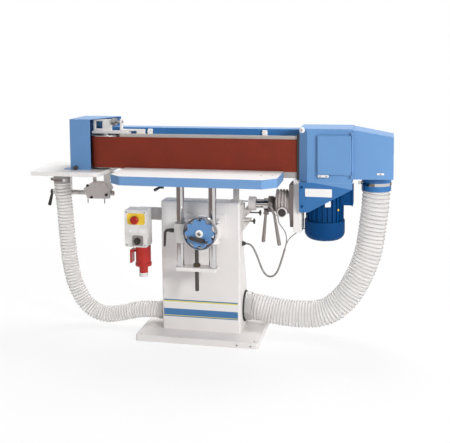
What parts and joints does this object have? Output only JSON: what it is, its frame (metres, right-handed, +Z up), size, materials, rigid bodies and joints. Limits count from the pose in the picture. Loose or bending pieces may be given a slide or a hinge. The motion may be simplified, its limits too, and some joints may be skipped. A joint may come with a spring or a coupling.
{
  "type": "edge sander",
  "caption": "Floor-standing edge belt sander with a tilting belt unit, a lift table worked by a handwheel, a side table at the idler and ribbed extraction hoses.",
  "frame": {"origin": "centre of the base plate's underside, on the floor", "axes": "+X along the belt towards the motor, +Y from the operator to the back, +Z up"},
  "size_m": [1.742, 0.602, 1.036],
  "materials": {
    "white_paint": "satin paint",
    "blue_paint": "satin paint",
    "motor_paint": "satin paint",
    "grey_casting": "cast and painted",
    "table_casting": "ground top, painted edges",
    "white_casting": "painted casting",
    "bare_aluminium": "machined",
    "chrome": "polished",
    "steel": "machined",
    "bronze": "machined",
    "black_plastic": "moulded",
    "white_plastic": "moulded",
    "red_plastic": "moulded",
    "grey_plastic": "moulded",
    "abrasive": "abrasive cloth",
    "graphite": "graphite cloth",
    "rubber": "moulded",
    "hose": "translucent, ribbed"
  },
  "bodies": {
    "stand": {"base_plate": "white_paint", "column": "white_paint", "dust_manifold": "steel", "hose_grommets": "rubber", "pivot_bracket": "grey_casting", "pivot_shaft": "chrome", "stop_post": "grey_casting", "control_box": "white_plastic", "mains_inlet": "red_plastic", "guide_bracket": "white_paint", "guide_bushes": "bronze", "cable_gland": "black_plastic", "right_hose": "hose", "left_hose": "hose", "cable_conduit": "grey_plastic", "switch_cable": "grey_plastic", "motor_cable": "grey_plastic"},
    "wheel": {"handwheel": "chrome", "handwheel_disc": "blue_paint"},
    "crank": {"crank_handle": "black_plastic"},
    "screw": {"lead_screw": "steel"},
    "lift": {"lift_columns": "chrome", "cross_plate": "white_paint", "lift_nut": "bronze", "table": "table_casting"},
    "height_clamp": {"height_lever": "black_plastic"},
    "table_clamp": {"table_lever": "black_plastic"},
    "shaft_clamp": {"shaft_lever": "black_plastic"},
    "belt_unit": {"tilt_hub": "grey_casting", "hub_cap": "black_plastic", "tilt_arm": "white_paint", "motor_plate": "grey_casting", "main_beam": "white_paint", "platen": "bare_aluminium", "graphite_pad": "graphite", "sanding_belt": "abrasive", "drive_hood": "blue_paint", "dust_duct": "blue_paint", "hose_clamps": "steel", "lower_guard": "blue_paint", "rear_cover": "blue_paint", "motor_body": "motor_paint", "fan_cover": "motor_paint", "aux_port": "black_plastic", "aux_bar": "chrome", "aux_block": "grey_casting", "aux_strap": "white_paint"},
    "hub_clamp": {"hub_lever": "black_plastic"},
    "drive": {"drive_drum": "bare_aluminium"},
    "tension": {"tension_fork": "white_casting"},
    "tension_knob": {"tension_screw": "steel"},
    "idler": {"idler_drum": "bare_aluminium"},
    "door": {"hood_door": "blue_paint"},
    "side_table": {"aux_table": "white_casting", "idler_guard": "blue_paint"},
    "side_clamp": {"aux_lever": "black_plastic"},
    "stop_button": {"estop_button": "red_plastic"},
    "switch": {"switch_knob": "black_plastic"},
    "lid": {"inlet_lid": "red_plastic"}
  },
  "joints": [
    {"name": "tilt", "type": "hinge", "parent": "stand", "child": "belt_unit", "pos_m": [0.3, -0.06, 0.642], "axis": [-1, 0, 0], "range_deg": [0, 90], "deforming": ["right_hose", "left_hose", "cable_conduit", "switch_cable", "motor_cable"]},
    {"name": "handwheel_turn", "type": "hinge", "parent": "stand", "child": "wheel", "pos_m": [0.048, -0.305, 0.552], "axis": [0, 1, 0], "range_deg": [-1795, 4040]},
    {"name": "crank_fold", "type": "hinge", "parent": "wheel", "child": "crank", "pos_m": [0.08053, -0.349, 0.51947], "axis": [0.2079, 0, 0.9781], "range_deg": [0, 90]},
    {"name": "screw_turn", "type": "hinge", "parent": "stand", "child": "screw", "pos_m": [0.013, -0.245, 0.552], "axis": [0, 0, 1], "range_deg": [-4045, 1800]},
    {"name": "table_lift", "type": "slide", "parent": "stand", "child": "lift", "axis": [0, 0, 1], "range_m": [-0.04, 0.09]},
    {"name": "height_clamp_turn", "type": "hinge", "parent": "stand", "child": "height_clamp", "pos_m": [-0.1, -0.245, 0.54], "axis": [1, 0, 0], "range_deg": [-40, 40]},
    {"name": "table_clamp_turn", "type": "hinge", "parent": "lift", "child": "table_clamp", "pos_m": [-0.131, -0.3, 0.755], "axis": [0, 0, 1], "range_deg": [-60, 60]},
    {"name": "shaft_clamp_turn", "type": "hinge", "parent": "stand", "child": "shaft_clamp", "pos_m": [0.306, -0.0763, 0.603], "axis": [0, 1, 0], "range_deg": [-15, 35]},
    {"name": "hub_clamp_turn", "type": "hinge", "parent": "belt_unit", "child": "hub_clamp", "pos_m": [0.33, -0.1043, 0.648], "axis": [0, 1, 0], "range_deg": [0, 35]},
    {"name": "drive_spin", "type": "hinge", "parent": "belt_unit", "child": "drive", "pos_m": [0.577, -0.0325, 0.878], "axis": [0, 0, 1], "continuous": true},
    {"name": "belt_tension", "type": "slide", "parent": "belt_unit", "child": "tension", "axis": [1, 0, 0], "range_m": [0, 0.0199]},
    {"name": "tension_turn", "type": "hinge", "parent": "tension", "child": "tension_knob", "pos_m": [-0.42, -0.024, 1.018], "axis": [1, 0, 0], "range_deg": [0, 3590]},
    {"name": "idler_spin", "type": "hinge", "parent": "tension", "child": "idler", "pos_m": [-0.49398, -0.0325, 0.878], "axis": [0, 0, 1], "continuous": true},
    {"name": "door_swing", "type": "hinge", "parent": "belt_unit", "child": "door", "pos_m": [0.706, -0.1471, 0.8895], "axis": [0, 0, 1], "range_deg": [0, 110]},
    {"name": "side_table_slide", "type": "slide", "parent": "belt_unit", "child": "side_table", "axis": [-1, 0, 0], "range_m": [0, 0.06]},
    {"name": "side_clamp_turn", "type": "hinge", "parent": "belt_unit", "child": "side_clamp", "pos_m": [-0.806, 0.016, 0.655], "axis": [1, 0, 0], "range_deg": [-45, 45]},
    {"name": "stop_press", "type": "slide", "parent": "stand", "child": "stop_button", "axis": [0, 1, 0], "range_m": [0, 0.005], "stiffness_N_per_m": 800},
    {"name": "switch_turn", "type": "hinge", "parent": "stand", "child": "switch", "pos_m": [-0.285, -0.2, 0.472], "axis": [0, 1, 0], "range_deg": [0, 90]},
    {"name": "lid_swing", "type": "hinge", "parent": "stand", "child": "lid", "pos_m": [-0.318, -0.154, 0.416], "axis": [0, 1, 0], "range_deg": [0, 80]}
  ],
  "couplings": [
    {"joint": "table_lift", "follows": "handwheel_turn", "m_per_rad": 0.0012732},
    {"joint": "screw_turn", "follows": "handwheel_turn", "ratio": -1},
    {"joint": "tension_turn", "follows": "belt_tension", "rad_per_m": 3141.6},
    {"joint": "idler_spin", "follows": "drive_spin", "ratio": 1}
  ]
}
